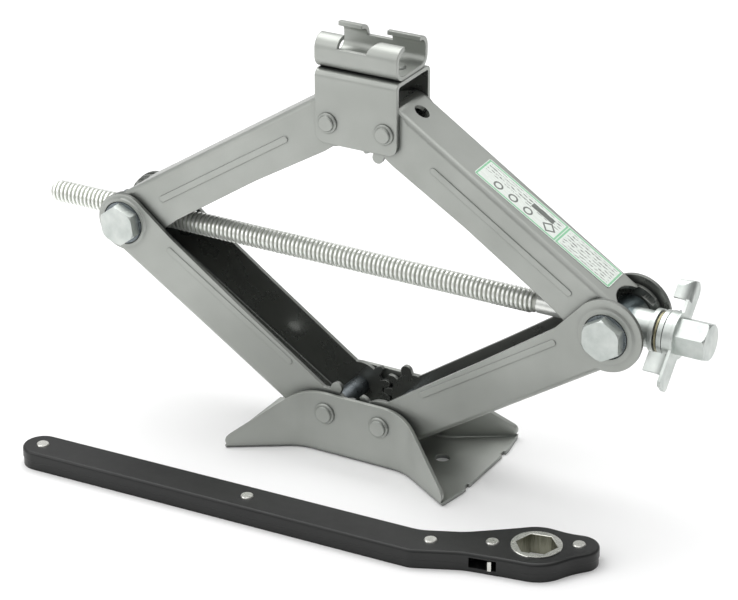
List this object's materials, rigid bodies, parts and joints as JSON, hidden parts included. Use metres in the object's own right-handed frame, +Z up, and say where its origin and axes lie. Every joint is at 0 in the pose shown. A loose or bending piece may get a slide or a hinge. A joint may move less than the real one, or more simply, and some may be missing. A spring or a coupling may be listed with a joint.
{
  "type": "scissor jack",
  "caption": "Scissor screw jack with a bow-tie foot, channel arms with geared ends, a thrust-bearing screw with a drive hexagon, a notched saddle, and a flat ratchet handle beside it.",
  "frame": {"origin": "centre of the foot's underside, on the floor", "axes": "+X along the screw towards its drive hexagon, +Z up, the ratchet handle lies on the -Y side"},
  "size_m": [0.455, 0.1838, 0.2704],
  "materials": {
    "painted_steel": "satin metallic",
    "zinc_steel": "zinc plated",
    "bright_steel": "polished",
    "dark_steel": "oiled",
    "cage_brass": "satin",
    "label": "printed film",
    "black_satin": "satin black"
  },
  "bodies": {
    "base": {"base_plate": "painted_steel", "base_pivot_pins": "painted_steel", "base_spacer_bushes": "dark_steel", "base_thrust_washers": "zinc_steel"},
    "lower_left_arm": {"lower_left_arm": "painted_steel"},
    "lower_right_arm": {"lower_right_arm": "painted_steel"},
    "left_trunnion": {"nut_block": "dark_steel", "left_shoulder_bolts": "zinc_steel", "left_head_washers": "zinc_steel", "left_spacer_washers": "zinc_steel"},
    "right_trunnion": {"bearing_block": "zinc_steel", "right_shoulder_bolts": "zinc_steel", "right_head_washers": "zinc_steel", "right_spacer_washers": "zinc_steel", "thrust_race_fixed": "zinc_steel"},
    "upper_left_arm": {"upper_left_arm": "painted_steel"},
    "upper_right_arm": {"upper_right_arm": "painted_steel", "instruction_label": "label"},
    "top": {"top_bracket": "painted_steel", "top_pivot_pins": "painted_steel", "top_spacer_bushes": "dark_steel", "saddle": "painted_steel", "saddle_rivets": "painted_steel"},
    "ball_ring": {"thrust_balls": "bright_steel", "thrust_ball_cage": "cage_brass"},
    "screw": {"lead_screw": "zinc_steel", "drive_head": "zinc_steel", "drive_pin": "dark_steel", "drive_yoke": "zinc_steel", "thrust_race_turning": "zinc_steel"},
    "handle": {"handle_lower_shell": "black_satin", "handle_upper_shell": "black_satin", "handle_rivets": "bright_steel", "detent_plunger": "bright_steel", "detent_spring": "dark_steel"},
    "ratchet": {"ratchet_socket": "bright_steel"},
    "pawl": {"pawl": "bright_steel"}
  },
  "joints": [
    {"name": "lift", "type": "hinge", "parent": "base", "child": "lower_left_arm", "pos_m": [-0.019, 0, 0.0276], "axis": [0, 1, 0], "range_deg": [-27, 27.6]},
    {"name": "lower_right_pivot", "type": "hinge", "parent": "base", "child": "lower_right_arm", "pos_m": [0.019, 0, 0.0276], "axis": [0, 1, 0], "range_deg": [-27.6, 27]},
    {"name": "left_trunnion_pivot", "type": "hinge", "parent": "lower_left_arm", "child": "left_trunnion", "pos_m": [-0.16593, 0, 0.12266], "axis": [0, 1, 0], "range_deg": [-27.6, 27]},
    {"name": "right_trunnion_pivot", "type": "hinge", "parent": "lower_right_arm", "child": "right_trunnion", "pos_m": [0.16593, 0, 0.12266], "axis": [0, 1, 0], "range_deg": [-27, 27.6]},
    {"name": "upper_left_pivot", "type": "hinge", "parent": "left_trunnion", "child": "upper_left_arm", "pos_m": [-0.16593, 0, 0.12266], "axis": [0, 1, 0], "range_deg": [-27.6, 27]},
    {"name": "upper_right_pivot", "type": "hinge", "parent": "right_trunnion", "child": "upper_right_arm", "pos_m": [0.16593, 0, 0.12266], "axis": [0, 1, 0], "range_deg": [-27, 27.6]},
    {"name": "top_pivot", "type": "hinge", "parent": "upper_left_arm", "child": "top", "pos_m": [-0.019, 0, 0.21771], "axis": [0, 1, 0], "range_deg": [-27, 27.6]},
    {"name": "screw_spin", "type": "hinge", "parent": "right_trunnion", "child": "screw", "pos_m": [0.16593, 0, 0.12266], "axis": [1, 0, 0], "continuous": true},
    {"name": "ball_ring_spin", "type": "hinge", "parent": "right_trunnion", "child": "ball_ring", "pos_m": [0.16593, 0, 0.12266], "axis": [1, 0, 0], "continuous": true},
    {"name": "handle_lift_off", "type": "slide", "parent": "base", "child": "handle", "axis": [0, 0, 1], "range_m": [0, 0.15]},
    {"name": "ratchet_spin", "type": "hinge", "parent": "handle", "child": "ratchet", "pos_m": [0.1547, -0.0821, 0.006], "axis": [0, 0, 1], "continuous": true},
    {"name": "pawl_flip", "type": "hinge", "parent": "handle", "child": "pawl", "pos_m": [0.1309, -0.0914, 0.006], "axis": [0, 0, 1], "range_deg": [-12, 0]}
  ],
  "couplings": [
    {"joint": "lower_right_pivot", "follows": "lift", "ratio": -1},
    {"joint": "left_trunnion_pivot", "follows": "lift", "ratio": -1},
    {"joint": "right_trunnion_pivot", "follows": "lift", "ratio": 1},
    {"joint": "upper_left_pivot", "follows": "lift", "ratio": -1},
    {"joint": "upper_right_pivot", "follows": "lift", "ratio": 1},
    {"joint": "top_pivot", "follows": "lift", "ratio": 1},
    {"joint": "ball_ring_spin", "follows": "screw_spin", "ratio": 0.5}
  ]
}
